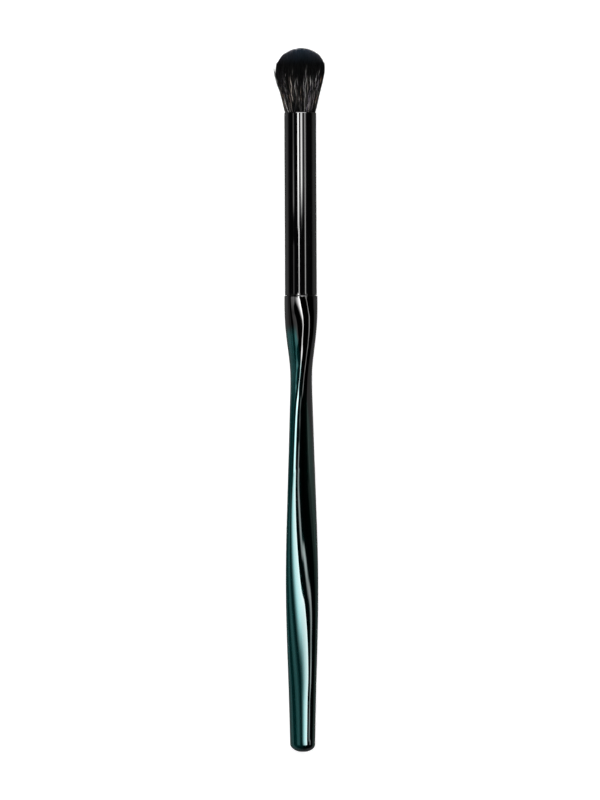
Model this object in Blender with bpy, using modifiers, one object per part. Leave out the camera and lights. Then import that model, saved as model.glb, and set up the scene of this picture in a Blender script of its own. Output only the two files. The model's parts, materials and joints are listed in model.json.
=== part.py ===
"""Make-up blending brush: a twisted oval handle, a drawn ferrule and a domed tuft.

The brush is modelled upright on its own axis, with the flat end of the handle at height zero,
local X to the right and local Y to the back. One empty carries every piece and lays the brush
on a table, along world X, resting on the belly of its tuft and on the end of its handle.
"""

import math

import bmesh
import bpy
from mathutils import Matrix, Vector

MM = 0.001

# What neighbouring pieces keep between them
SEAT_GAP = 0.3 * MM
SEAM_GAP = 0.3 * MM

# Ferrule, a drawn tube with rolled edges
FERRULE_DIAMETER = 8.0 * MM
FERRULE_LENGTH = 45.6 * MM
FERRULE_WALL = 0.35 * MM
MOUTH_EDGE = 0.22 * MM
SKIRT_EDGE = 0.28 * MM
INNER_EDGE = 0.08 * MM

# Handle, a moulded bar of oval section that twists between its end and its neck
HANDLE_LENGTH = 114.45 * MM
GRIP_WIDTH = 8.16 * MM
GRIP_THICKNESS = 5.34 * MM
SHOULDER_DIAMETER = 8.34 * MM
SHOULDER_EDGE = 0.2 * MM
END_DOME_DEPTH = 2.0 * MM
END_FLAT_SHARE = 0.28
HANDLE_RING_PITCH = 2.4 * MM

# Each row: place along the handle, wide half of the section, narrow half, turn in degrees.
# The halves of the grip are shares of its own, and those of the neck of the shoulder's radius.
GRIP_SHARES = (
    (0.000, 1.00, 1.00, -59.0),
    (0.135, 1.00, 1.00, -44.0),
    (0.266, 1.00, 1.00, -21.0),
    (0.398, 1.00, 1.00, 7.0),
    (0.530, 1.00, 1.00, 34.0),
    (0.610, 1.00, 1.00, 46.5),
    (0.695, 0.98, 1.00, 58.5),
    (0.762, 0.965, 1.00, 68.5),
    (0.806, 0.92, 1.01, 80.0),
    (0.837, 0.89, 1.04, 93.0),
)
NECK_SHARES = (
    (0.863, 0.90, 0.72, 107.0),
    (0.889, 0.97, 0.78, 119.0),
    (0.915, 1.04, 0.82, 128.0),
    (0.941, 1.06, 0.88, 134.0),
    (0.968, 1.03, 0.95, 139.0),
    (1.000, 1.00, 1.00, 143.0),
)

# Tenon of the handle, and the glue that fills its groove
TENON_LENGTH = 14.0 * MM
TENON_CHAMFER = 0.5 * MM
GLUE_THICKNESS = 0.4 * MM
GLUE_LENGTH = 3.4 * MM
GLUE_FROM_SHOULDER = 5.0 * MM

# Tuft: hairs that stand in a slice of their glued root
TUFT_REACH = 16.45 * MM
TUFT_BELLY_RADIUS = 6.1 * MM
BELLY_HEIGHT = 10.4 * MM
DOME_HEIGHT = 12.0 * MM
COLLAR_HEIGHT = 1.6 * MM
COLLAR_RADIUS_SHARE = 0.69
TIP_RADIUS_SHARE = 0.93
RING_TIP_SHARE = 0.96
ROUND_SHARE = 0.9
RAGGED_TIP = 0.45 * MM
REST_DEPTH = 0.5 * MM
HAIR_COUNT = 360
RING_HAIR_COUNT = 48
BUNDLE_SHARE = 0.9
HAIR_SIDE_COUNT = 3
HAIR_ROOT_SHARE = 0.36
HAIR_BODY_SHARE = 0.36
HAIR_DEPTH = 0.3 * MM
ROOT_RECESS = 0.4 * MM
ROOT_LENGTH = 9.0 * MM
ROOT_LAND = 2.2 * MM

# Thread that binds the root, wound in its groove
THREAD_DIAMETER = 0.4 * MM
THREAD_SPACING = 0.45 * MM
THREAD_TURN_COUNT = 4
THREAD_POINT_COUNT = 16

# Resin plug behind the root
PLUG_LENGTH = 8.0 * MM
PLUG_CHAMFER = 0.4 * MM

ROUND_STEP_COUNT = 40
INNER_STEP_COUNT = 28
ARC_STEP_COUNT = 4
MERGE = 0.01 * MM
SHARP_ANGLE = math.radians(35.0)
GOLDEN_ANGLE = math.pi * (3.0 - math.sqrt(5.0))

# Sizes that follow from the ones above
FERRULE_RADIUS = FERRULE_DIAMETER / 2
BORE_RADIUS = FERRULE_RADIUS - FERRULE_WALL
INNER_RADIUS = BORE_RADIUS - SEAT_GAP
SHOULDER_RADIUS = SHOULDER_DIAMETER / 2
SKIRT_PLACE = HANDLE_LENGTH + SEAM_GAP
MOUTH_PLACE = SKIRT_PLACE + FERRULE_LENGTH
ROOT_TOP = MOUTH_PLACE - ROOT_RECESS
ROOT_BOTTOM = ROOT_TOP - ROOT_LENGTH
PLUG_TOP = ROOT_BOTTOM - SEAT_GAP
THREAD_CENTRE_RADIUS = INNER_RADIUS - THREAD_DIAMETER / 2
THREAD_FLOOR_RADIUS = THREAD_CENTRE_RADIUS - THREAD_DIAMETER / 2 - SEAT_GAP
THREAD_PITCH = THREAD_DIAMETER + THREAD_SPACING
THREAD_RISE = THREAD_PITCH * THREAD_TURN_COUNT
THREAD_TOP = ROOT_TOP - ROOT_LAND - SEAT_GAP - THREAD_DIAMETER / 2
BELLY_PLACE = MOUTH_PLACE + BELLY_HEIGHT
REST_REACH = TUFT_BELLY_RADIUS - REST_DEPTH
THREAD_GROOVE_BOTTOM = THREAD_TOP - THREAD_RISE - THREAD_DIAMETER / 2 - SEAT_GAP
GLUE_FLOOR_RADIUS = INNER_RADIUS - GLUE_THICKNESS - SEAT_GAP
GLUE_BOTTOM = HANDLE_LENGTH + GLUE_FROM_SHOULDER

LACQUER = {"colour": (0.012, 0.075, 0.08, 1.0), "roughness": 0.12, "metallic": 0.55}
BLACK_ENAMEL = {"colour": (0.006, 0.006, 0.007, 1.0), "roughness": 0.1, "metallic": 0.2}
HAIR_FIBRE = {"colour": (0.012, 0.014, 0.02, 1.0), "roughness": 0.7, "metallic": 0.0}
COTTON = {"colour": (0.7, 0.66, 0.58, 1.0), "roughness": 0.9, "metallic": 0.0}
RESIN = {"colour": (0.55, 0.42, 0.2, 1.0), "roughness": 0.3, "metallic": 0.0}
GLUE = {"colour": (0.75, 0.72, 0.6, 1.0), "roughness": 0.4, "metallic": 0.0}


def clear_scene():
    """Remove whatever the scene holds."""
    for old in list(bpy.data.objects):
        bpy.data.objects.remove(old, do_unlink=True)


def new_collection(name):
    """Return a new collection linked to the scene."""
    collection = bpy.data.collections.new(name)
    bpy.context.scene.collection.children.link(collection)
    return collection


def new_material(name, finish):
    """Return a material with the colour, roughness and metallic value of a finish."""
    material = bpy.data.materials.new(name)
    material.use_nodes = True
    shader = material.node_tree.nodes["Principled BSDF"]
    shader.inputs["Base Color"].default_value = finish["colour"]
    shader.inputs["Roughness"].default_value = finish["roughness"]
    shader.inputs["Metallic"].default_value = finish["metallic"]
    material.diffuse_color = finish["colour"]
    return material


def new_object(name, data, collection, material=None):
    """Return an object made of the data, in the collection, with its material."""
    made = bpy.data.objects.new(name, data)
    collection.objects.link(made)
    if material is not None:
        data.materials.append(material)
    return made


def shade_round(mesh):
    """Shade a mesh smooth, with its real edges left sharp."""
    mesh.shade_smooth()
    mesh.set_sharp_from_angle(angle=SHARP_ANGLE)


def arc(centre, radius, start, end):
    """Return the points of an arc in the profile plane, angles in degrees from the radial axis."""
    points = []
    for step in range(ARC_STEP_COUNT + 1):
        angle = math.radians(start + (end - start) * step / ARC_STEP_COUNT)
        points.append((centre[0] + radius * math.cos(angle), centre[1] + radius * math.sin(angle)))
    return points


def turned(name, profile, steps, collection, material=None, closed=False):
    """Return a turned piece: the profile's radii and heights spun about the axis."""
    mesh = bpy.data.meshes.new(name)
    edges = [(i, i + 1) for i in range(len(profile) - 1)]
    if closed:
        edges.append((len(profile) - 1, 0))
    mesh.from_pydata([(radius, 0.0, height) for radius, height in profile], edges, [])
    made = new_object(name, mesh, collection, material)
    screw = made.modifiers.new("turning", "SCREW")
    screw.axis = "Z"
    screw.angle = 2 * math.pi
    screw.steps = steps
    screw.render_steps = steps
    screw.use_merge_vertices = True
    screw.merge_threshold = MERGE
    screw.use_smooth_shade = True
    return made


def smooth_value(rows, column, place):
    """Return one column of a station table at a place, on a smooth curve through its rows."""
    last = len(rows) - 1
    i = max(k for k in range(last) if k == 0 or rows[k][0] <= place)
    before, after = rows[max(i - 1, 0)], rows[min(i + 2, last)]
    low, high = rows[i], rows[i + 1]
    span = high[0] - low[0]
    t = (place - low[0]) / span
    slope_low = (high[column] - before[column]) / (high[0] - before[0]) * span
    slope_high = (after[column] - low[column]) / (after[0] - low[0]) * span
    rise = high[column] - low[column]
    bend = slope_low - rise
    turn = slope_high - rise
    return low[column] + t * rise + t * (1 - t) * ((1 - t) * bend - t * turn)


def handle_stations():
    """Return the handle's stations with their halves as real sizes."""
    grip = [(p, w * GRIP_WIDTH / 2, n * GRIP_THICKNESS / 2, a) for p, w, n, a in GRIP_SHARES]
    neck = [(p, w * SHOULDER_RADIUS, n * SHOULDER_RADIUS, a) for p, w, n, a in NECK_SHARES]
    return grip + neck


def oval_ring(wide, narrow, turn, height):
    """Return one ring of points of an oval section, turned about the axis."""
    points = []
    for step in range(ROUND_STEP_COUNT):
        angle = 2 * math.pi * step / ROUND_STEP_COUNT - turn
        across, along = wide * math.cos(angle), narrow * math.sin(angle)
        x = across * math.cos(turn) - along * math.sin(turn)
        y = across * math.sin(turn) + along * math.cos(turn)
        points.append(Vector((x, y, height)))
    return points


def handle_body_rings():
    """Return the rings of the handle from its end flat to the edge of its shoulder."""
    stations = handle_stations()
    end = HANDLE_LENGTH - SHOULDER_EDGE
    rings = []
    dome_steps = 2 * ARC_STEP_COUNT
    first = math.asin(END_FLAT_SHARE)
    for step in range(dome_steps):
        angle = first + (math.pi / 2 - first) * step / dome_steps
        depth = END_DOME_DEPTH * (math.cos(first) - math.cos(angle))
        share = math.sin(angle)
        rings.append((depth, share))
    dome_end = END_DOME_DEPTH * math.cos(first)
    count = round((end - dome_end) / HANDLE_RING_PITCH)
    for step in range(count + 1):
        rings.append((dome_end + (end - dome_end) * step / count, 1.0))
    made = []
    for height, share in rings:
        place = height / HANDLE_LENGTH
        wide = smooth_value(stations, 1, place) * share
        narrow = smooth_value(stations, 2, place) * share
        turn = math.radians(smooth_value(stations, 3, place))
        made.append(oval_ring(wide, narrow, turn, height))
    return made


def tenon_profile():
    """Return the radii and heights of the shoulder's edge and of the tenon, upwards."""
    top = HANDLE_LENGTH + TENON_LENGTH
    groove_low, groove_high = GLUE_BOTTOM - SEAT_GAP, GLUE_BOTTOM + GLUE_LENGTH + SEAT_GAP
    edge_centre = (SHOULDER_RADIUS - SHOULDER_EDGE, HANDLE_LENGTH - SHOULDER_EDGE)
    return arc(edge_centre, SHOULDER_EDGE, 0, 90)[1:] + [
        (INNER_RADIUS, HANDLE_LENGTH),
        (INNER_RADIUS, groove_low),
        (GLUE_FLOOR_RADIUS, groove_low),
        (GLUE_FLOOR_RADIUS, groove_high),
        (INNER_RADIUS, groove_high),
        (INNER_RADIUS, top - TENON_CHAMFER),
        (INNER_RADIUS - TENON_CHAMFER, top),
    ]


def make_handle(collection):
    """Loft the twisted oval bar and its tenon as one closed body."""
    rings = handle_body_rings()
    rings += [oval_ring(radius, radius, 0.0, height) for radius, height in tenon_profile()]
    mesh = bpy.data.meshes.new("handle")
    shape = bmesh.new()
    corners = [[shape.verts.new(point) for point in ring] for ring in rings]
    for low, high in zip(corners, corners[1:]):
        for i in range(ROUND_STEP_COUNT):
            j = (i + 1) % ROUND_STEP_COUNT
            shape.faces.new((low[i], low[j], high[j], high[i]))
    shape.faces.new(list(reversed(corners[0])))
    shape.faces.new(corners[-1])
    bmesh.ops.recalc_face_normals(shape, faces=shape.faces)
    shape.to_mesh(mesh)
    shape.free()
    shade_round(mesh)
    return new_object("handle", mesh, collection, new_material("metallic_lacquer", LACQUER))


def make_ferrule(collection):
    """Turn the drawn tube, with its mouth and its skirt rolled over."""
    outer, bore = FERRULE_RADIUS, BORE_RADIUS
    top, low = MOUTH_PLACE, SKIRT_PLACE
    profile = arc((bore + INNER_EDGE, top - INNER_EDGE), INNER_EDGE, 180, 90)
    profile += arc((outer - MOUTH_EDGE, top - MOUTH_EDGE), MOUTH_EDGE, 90, 0)
    profile += arc((outer - SKIRT_EDGE, low + SKIRT_EDGE), SKIRT_EDGE, 0, -90)
    profile.append((bore, low))
    return turned(
        "ferrule",
        profile,
        ROUND_STEP_COUNT,
        collection,
        new_material("black_enamel", BLACK_ENAMEL),
        closed=True,
    )


def make_tenon_glue(collection):
    """Turn the ring of set glue that fills the tenon's groove."""
    low, high = GLUE_BOTTOM, GLUE_BOTTOM + GLUE_LENGTH
    inner = INNER_RADIUS - GLUE_THICKNESS
    profile = [(inner, high), (INNER_RADIUS, high), (INNER_RADIUS, low), (inner, low)]
    material = new_material("set_glue", GLUE)
    return turned("tenon_glue", profile, INNER_STEP_COUNT, collection, material, closed=True)


def make_root_plug(collection):
    """Turn the resin plug that closes the ferrule behind the hair."""
    low = PLUG_TOP - PLUG_LENGTH
    profile = [
        (0.0, PLUG_TOP),
        (INNER_RADIUS, PLUG_TOP),
        (INNER_RADIUS, low + PLUG_CHAMFER),
        (INNER_RADIUS - PLUG_CHAMFER, low),
        (0.0, low),
    ]
    return turned("root_plug", profile, INNER_STEP_COUNT, collection, new_material("resin", RESIN))


def make_binding_thread(collection):
    """Wind the thread round the root, as one unbroken tube."""
    curve = bpy.data.curves.new("binding_thread", "CURVE")
    curve.dimensions = "3D"
    curve.bevel_depth = THREAD_DIAMETER / 2
    curve.bevel_resolution = 1
    curve.use_fill_caps = True
    count = THREAD_TURN_COUNT * THREAD_POINT_COUNT + 1
    line = curve.splines.new("POLY")
    line.points.add(count - 1)
    for step in range(count):
        turns = step / THREAD_POINT_COUNT
        angle = 2 * math.pi * turns
        x, y = THREAD_CENTRE_RADIUS * math.cos(angle), THREAD_CENTRE_RADIUS * math.sin(angle)
        line.points[step].co = (x, y, THREAD_TOP - THREAD_PITCH * turns, 1.0)
    print(f"Least gap of the thread to itself: {(THREAD_PITCH - THREAD_DIAMETER) / MM:.2f} mm")
    return new_object("binding_thread", curve, collection, new_material("cotton", COTTON))


def hair_tip_height(share):
    """Return how high above the mouth a hair ends, at its share of the tuft's radius."""
    dome = TUFT_REACH - DOME_HEIGHT
    share = min(share, RING_TIP_SHARE)
    round_part = ROUND_SHARE * math.sqrt(1.0 - share**2)
    cone_part = (1.0 - ROUND_SHARE) * (1.0 - share)
    return DOME_HEIGHT + dome * (round_part + cone_part)


def hair_place(index):
    """Return one hair's direction and its share of the tuft's radius: a full ring, then the bundle."""
    if index < RING_HAIR_COUNT:
        return 2 * math.pi * (index + 0.5) / RING_HAIR_COUNT, 1.0
    order = index - RING_HAIR_COUNT
    share = math.sqrt((order + 0.5) / (HAIR_COUNT - RING_HAIR_COUNT))
    return order * GOLDEN_ANGLE, BUNDLE_SHARE * share


def rest_share(direction, reach, height, slope):
    """Return how far the table presses a hair in, as a share of the reach of the outer hairs."""
    down = reach * math.sin(direction)
    table = REST_REACH + slope * (height - BELLY_PLACE)
    return min(1.0, table / down) if down > 0.0 else 1.0


def hair_levels(index, slope):
    """Return one hair's levels from root to tip: its distance from the axis, height and radius."""
    direction, share = hair_place(index)
    spacing = TUFT_BELLY_RADIUS / math.sqrt(HAIR_COUNT)
    root_spacing = INNER_RADIUS / math.sqrt(HAIR_COUNT)
    root_half = root_spacing * 2 * HAIR_ROOT_SHARE
    body_half = spacing * 2 * HAIR_BODY_SHARE
    ragged = RAGGED_TIP * ((index * math.sqrt(2.0)) % 1.0)
    tip_place = MOUTH_PLACE + hair_tip_height(share) - ragged * share
    collar_radius = TUFT_BELLY_RADIUS * COLLAR_RADIUS_SHARE
    tip_radius = TUFT_BELLY_RADIUS * TIP_RADIUS_SHARE
    levels = []
    for radius, height, half in (
        (INNER_RADIUS, ROOT_TOP - HAIR_DEPTH, root_half),
        (collar_radius, MOUTH_PLACE + COLLAR_HEIGHT, (root_half + body_half) / 2),
        (TUFT_BELLY_RADIUS, BELLY_PLACE, body_half),
        (tip_radius, tip_place, 0.0),
    ):
        pressed = radius * rest_share(direction, radius, height, slope)
        levels.append((share * (pressed - half), height, half))
    return levels


def add_hair(shape, index, slope):
    """Add one closed hair of three sides, drawn to a point, to a mesh."""
    direction = hair_place(index)[0]
    out = Vector((math.cos(direction), math.sin(direction), 0.0))
    side = Vector((-math.sin(direction), math.cos(direction), 0.0))
    levels = hair_levels(index, slope)
    rings = []
    for reach, height, half in levels[:-1]:
        ring = []
        for corner in range(HAIR_SIDE_COUNT):
            angle = 2 * math.pi * corner / HAIR_SIDE_COUNT
            point = out * (reach + half * math.cos(angle)) + side * (half * math.sin(angle))
            point.z = height
            ring.append(shape.verts.new(point))
        rings.append(ring)
    point = out * levels[-1][0]
    point.z = levels[-1][1]
    tip = shape.verts.new(point)
    shape.faces.new(list(reversed(rings[0])))
    for low, high in zip(rings, rings[1:]):
        for i in range(HAIR_SIDE_COUNT):
            j = (i + 1) % HAIR_SIDE_COUNT
            shape.faces.new((low[i], low[j], high[j], high[i]))
    for i in range(HAIR_SIDE_COUNT):
        shape.faces.new((rings[-1][i], rings[-1][(i + 1) % HAIR_SIDE_COUNT], tip))


def make_hairs(cutters, slope):
    """Make every hair, as the shape that is joined to the root."""
    mesh = bpy.data.meshes.new("hairs")
    shape = bmesh.new()
    for index in range(HAIR_COUNT):
        add_hair(shape, index, slope)
    shape.to_mesh(mesh)
    shape.free()
    hairs = new_object("hairs", mesh, cutters)
    hairs.hide_render = True
    hairs.display_type = "WIRE"
    return hairs


def make_tuft(collection, cutters, slope):
    """Turn the slice of root with its groove for the thread, and join the hairs to it."""
    groove_top = ROOT_TOP - ROOT_LAND
    profile = [
        (0.0, ROOT_TOP),
        (INNER_RADIUS, ROOT_TOP),
        (INNER_RADIUS, groove_top),
        (THREAD_FLOOR_RADIUS, groove_top),
        (THREAD_FLOOR_RADIUS, THREAD_GROOVE_BOTTOM),
        (INNER_RADIUS, THREAD_GROOVE_BOTTOM),
        (INNER_RADIUS, ROOT_BOTTOM),
        (0.0, ROOT_BOTTOM),
    ]
    material = new_material("hair_fibre", HAIR_FIBRE)
    tuft = turned("bristle_tuft", profile, INNER_STEP_COUNT, collection, material)
    joined = tuft.modifiers.new("hairs", "BOOLEAN")
    joined.operation = "UNION"
    joined.solver = "EXACT"
    hairs = make_hairs(cutters, slope)
    hairs.parent = tuft
    joined.object = hairs
    return tuft


def local_points(pieces):
    """Return every point of the pieces as shown, on the brush's own axis."""
    bpy.context.view_layer.update()
    graph = bpy.context.evaluated_depsgraph_get()
    points = []
    for piece in pieces:
        shown = piece.evaluated_get(graph)
        mesh = shown.to_mesh()
        points += [corner.co.copy() for corner in mesh.vertices]
        shown.to_mesh_clear()
    return points


def lying_slope(handle):
    """Return the slope of the table against the axis, under the tuft's belly and the handle."""
    points = local_points([handle])
    slope = 0.0
    for _ in range(len(GRIP_SHARES)):
        back = max(points, key=lambda p: p.y - slope * p.z)
        slope = (REST_REACH - back.y) / (BELLY_PLACE - back.z)
    return slope


def lay_down(pieces, slope, collection):
    """Lay the brush along world X on the table, centred over the world's origin."""
    points = local_points(pieces)
    tilt = math.atan(slope)
    flat = Matrix(((0.0, 0.0, 1.0), (-1.0, 0.0, 0.0), (0.0, -1.0, 0.0)))
    turn = Matrix.Rotation(-tilt, 3, "Y") @ flat
    laid = [turn @ point for point in points]
    lowest = [min(point[axis] for point in laid) for axis in range(3)]
    highest = [max(point[axis] for point in laid) for axis in range(3)]
    axis = bpy.data.objects.new("brush_axis", None)
    axis.empty_display_size = FERRULE_DIAMETER
    axis.rotation_euler = turn.to_euler()
    axis.location = (
        -(lowest[0] + highest[0]) / 2,
        -(lowest[1] + highest[1]) / 2,
        -lowest[2],
    )
    collection.objects.link(axis)
    for piece in pieces:
        piece.parent = axis
    print(f"Tilt of the axis on the table: {math.degrees(tilt):.3f} degrees")


def main():
    """Make the pieces on the brush's own axis and lay the brush down."""
    clear_scene()
    brush = new_collection("blending_brush")
    cutters = new_collection("joined_shapes")
    handle = make_handle(brush)
    slope = lying_slope(handle)
    pieces = [
        handle,
        make_tenon_glue(brush),
        make_ferrule(brush),
        make_root_plug(brush),
        make_binding_thread(brush),
        make_tuft(brush, cutters, slope),
    ]
    lay_down(pieces, slope, brush)


main()
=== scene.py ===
import json
import logging
import math
from dataclasses import dataclass, field
from enum import Enum
from typing import Callable, Sequence

import bpy
import numpy as np
from mathutils import Matrix, Vector


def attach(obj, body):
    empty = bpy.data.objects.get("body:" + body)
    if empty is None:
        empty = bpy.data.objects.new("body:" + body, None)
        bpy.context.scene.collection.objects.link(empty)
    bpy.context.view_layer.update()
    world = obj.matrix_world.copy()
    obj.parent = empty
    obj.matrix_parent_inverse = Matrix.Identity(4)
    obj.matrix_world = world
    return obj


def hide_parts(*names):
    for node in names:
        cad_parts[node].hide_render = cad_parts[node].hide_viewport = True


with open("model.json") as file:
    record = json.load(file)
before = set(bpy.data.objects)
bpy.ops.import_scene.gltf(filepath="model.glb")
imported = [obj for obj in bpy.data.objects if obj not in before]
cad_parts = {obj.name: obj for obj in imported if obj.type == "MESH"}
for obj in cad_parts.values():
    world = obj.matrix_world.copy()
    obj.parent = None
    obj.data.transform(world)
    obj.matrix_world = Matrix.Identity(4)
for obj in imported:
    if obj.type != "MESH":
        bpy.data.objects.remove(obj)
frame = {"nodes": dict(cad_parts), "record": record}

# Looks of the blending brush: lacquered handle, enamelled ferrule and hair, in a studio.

LOG = logging.getLogger("blending_brush")
MM = 0.001
FULL_TURN = 2 * math.pi
ROOT_BODY = "root"
Colour = tuple[float, float, float]
Stops = Sequence[tuple[float, Colour]]
Range = tuple[float, float]
Rows = tuple[tuple[float, ...], ...]
Piece = bpy.types.Object
Socket = bpy.types.NodeSocket
EVEN: Rows = ((0, 1), (1, 1))
CLOUD_EDGES: Range = (0.3, 0.7)
TINY = 1e-6
LEAST = 1e-9


class Slot(Enum):
    """The record's material slots of the new pieces."""

    LACQUER = "metallic_lacquer"
    ENAMEL = "black_enamel"
    HAIR = "hair_fibre"


@dataclass(frozen=True)
class BrushAxis:
    """The brush's own frame: Z runs from its handle's end to its tuft, -Y towards the viewer."""

    placement: Matrix

    @classmethod
    def from_record(cls, record: dict) -> "BrushAxis":
        """Read the frame from the brush's only mount, the flat at the end of its handle.

        Args:
            record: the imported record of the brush.

        Returns:
            The frame, with X across the brush, level with the table.
        """
        mount = next(m for m in record["mounts"] if m["name"] == "handle_end")
        along = -Vector(mount["axis"]).normalized()
        across = Vector((0, -1, 0))
        turn = Matrix((across, along.cross(across), along)).transposed().to_4x4()
        return cls(Matrix.Translation(Vector(mount["pos_m"])) @ turn)

    def lay(self, piece: Piece) -> None:
        """Lay down a piece that was made upright, with its place in its mesh.

        Args:
            piece: the piece.
        """
        Bench.take(piece)
        piece.matrix_world = self.placement @ piece.matrix_world
        bpy.ops.object.transform_apply()

    def direction(self, x: float, y: float, z: float) -> Vector:
        """Return a direction of the brush's own frame as one of the scene."""
        return self.placement.to_3x3() @ Vector((x, y, z))

    def reading(self, recipe: "Recipe", x: float, y: float, z: float) -> Socket:
        """Return how far a material's point lies from the handle's end, along a direction.

        Args:
            recipe: the material that is being made.
            x: the direction's part across the brush.
            y: its part away from the viewer.
            z: its part along the brush.

        Returns:
            The socket of the distance.
        """
        way = self.direction(x, y, z)
        vectors = {0: recipe.place(), 1: way}
        reach = recipe.node("VectorMath", vectors, operation="DOT_PRODUCT").outputs["Value"]
        return recipe.math("SUBTRACT", reach, way.dot(self.placement.translation))


class Bench:
    """Blender's modelling tools, used on one piece at a time."""

    @staticmethod
    def clear() -> None:
        """Leave edit mode and deselect everything."""
        if bpy.context.mode != "OBJECT":
            bpy.ops.object.mode_set(mode="OBJECT")
        bpy.ops.object.select_all(action="DESELECT")

    @staticmethod
    def take(piece: Piece) -> None:
        """Select one piece alone and make it the active one.

        Args:
            piece: the piece.
        """
        Bench.clear()
        piece.select_set(True)
        bpy.context.view_layer.objects.active = piece

    @staticmethod
    def add(tool: Callable, name: str, **settings: object) -> Piece:
        """Add a primitive and name it.

        Args:
            tool: the primitive's operator.
            name: the piece's name.
            settings: the operator's settings by name.

        Returns:
            The new piece, selected alone.
        """
        Bench.clear()
        tool(**settings)
        piece = bpy.context.active_object
        piece.name = piece.data.name = name
        return piece

    @staticmethod
    def modify(piece: Piece, kind: str, **settings: object) -> None:
        """Add a modifier with its settings and apply it.

        Args:
            piece: the piece to change.
            kind: the modifier's type.
            settings: the modifier's settings by name.
        """
        Bench.take(piece)
        step = piece.modifiers.new(kind.lower(), kind)
        for setting, value in settings.items():
            setattr(step, setting, value)
        bpy.ops.object.modifier_apply(modifier=step.name)

    @staticmethod
    def turn(angle: float, height: float) -> None:
        """Turn the selection about the upright axis; with no window the tool turns backwards."""
        bpy.ops.transform.rotate(value=-angle, orient_axis="Z", center_override=(0, 0, height))

    @staticmethod
    def stretch(across: float, away: float, height: float) -> None:
        """Stretch the selection from the upright axis, along X and along Y."""
        bpy.ops.transform.resize(value=(across, away, 1), center_override=(0, 0, height))

    @staticmethod
    def smooth(piece: Piece, degrees: float) -> None:
        """Shade a piece smooth, but for edges sharper than the angle."""
        Bench.take(piece)
        bpy.ops.object.shade_smooth_by_angle(angle=math.radians(degrees))

    @staticmethod
    def show_to_gloss_alone(piece: Piece) -> None:
        """Hide a piece from everything but glossy surfaces."""
        for ray in ("camera", "diffuse", "shadow", "transmission", "volume_scatter"):
            setattr(piece, "visible_" + ray, False)


class Recipe:
    """A node tree that is built node by node, for a material or for the world."""

    def __init__(self, name: str, world: bool = False) -> None:
        """Start an empty tree.

        Args:
            name: the name of the material or world.
            world: whether it is a world.
        """
        self.owner = (bpy.data.worlds if world else bpy.data.materials).new(name)
        self.owner.use_nodes = True
        self.tree = self.owner.node_tree
        self.tree.nodes.clear()
        self.output = "OutputWorld" if world else "OutputMaterial"

    def node(self, kind: str, inputs: dict | None = None, **settings: object) -> bpy.types.Node:
        """Add a node.

        Args:
            kind: the node's type, without the word ShaderNode.
            inputs: values or sockets for its inputs, by name or number.
            settings: the node's own settings by name.

        Returns:
            The new node.
        """
        made = self.tree.nodes.new("ShaderNode" + kind)
        for setting, value in settings.items():
            setattr(made, setting, value)
        for key, value in (inputs or {}).items():
            if isinstance(value, Socket):
                self.tree.links.new(value, made.inputs[key])
            else:
                made.inputs[key].default_value = value
        return made

    def place(self) -> Socket:
        """Return the socket of the piece's own coordinates."""
        return self.node("TexCoord").outputs["Object"]

    def parts(self, uv_map: str = "") -> Sequence[Socket]:
        """Return the parts of a point's place, in the piece's own frame or on its map."""
        place = self.node("UVMap", uv_map=uv_map).outputs[0] if uv_map else self.place()
        return self.node("SeparateXYZ", {0: place}).outputs

    def math(self, operation: str, *values: object) -> Socket:
        """Return the result of a sum on numbers or sockets."""
        return self.node("Math", dict(enumerate(values)), operation=operation).outputs[0]

    def share(self, value: Socket, low: object, high: object, **settings: object) -> Socket:
        """Return how far a value is from one limit to another, from 0 to 1."""
        limits = {"Value": value, "From Min": low, "From Max": high}
        return self.node("MapRange", limits, **settings).outputs["Result"]

    def dimmed(self, colour: Socket, light: Socket) -> Socket:
        """Return a colour times a number."""
        return self.node("VectorMath", {0: colour, "Scale": light}, operation="SCALE").outputs[0]

    def noise(self, size: float, detail: float = 2) -> Socket:
        """Return a cloudy pattern of the given size."""
        inputs = {"Vector": self.place(), "Scale": 1 / size, "Detail": detail}
        return self.node("TexNoise", inputs).outputs["Fac"]

    def bump(self, height: Socket, strength: float, depth: float) -> Socket:
        """Return the normal of a surface with a pattern pressed into it."""
        inputs = {"Height": height, "Strength": strength, "Distance": depth}
        return self.node("Bump", inputs).outputs["Normal"]

    def ramp(self, source: Socket, stops: Stops, smooth: bool = False) -> Socket:
        """Return the colour of a ramp.

        Args:
            source: what the ramp reads.
            stops: its places and colours.
            smooth: whether it eases from stop to stop.

        Returns:
            The socket of the colour.
        """
        made = self.node("ValToRGB", {"Fac": source})
        scale = made.color_ramp
        scale.interpolation = "EASE" if smooth else "LINEAR"
        scale.elements.remove(scale.elements[-1])
        scale.elements[0].position = stops[0][0]
        scale.elements[0].color = (*stops[0][1], 1)
        for place, colour in stops[1:]:
            scale.elements.new(place).color = (*colour, 1)
        return made.outputs["Color"]

    def clouded(self, cloud: Socket, dark: Colour, pale: Colour) -> Socket:
        """Return a colour that goes from dark to pale with a cloudy pattern."""
        return self.ramp(cloud, tuple(zip(CLOUD_EDGES, (dark, pale))), smooth=True)

    def levels(self, source: Socket, rows: Rows) -> Socket:
        """Return the level that a table of places and levels gives."""
        return self.ramp(source, [(place, (level, level, level)) for place, level in rows])

    def finish(self, kind: str, inputs: dict) -> bpy.types.ID:
        """Add the last shader and wire it to the output.

        Args:
            kind: the shader's type, without the word ShaderNode.
            inputs: values or sockets for its inputs, by name or number.

        Returns:
            The finished material or world.
        """
        self.node(self.output, {"Surface": self.node(kind, inputs).outputs[0]})
        return self.owner


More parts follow.
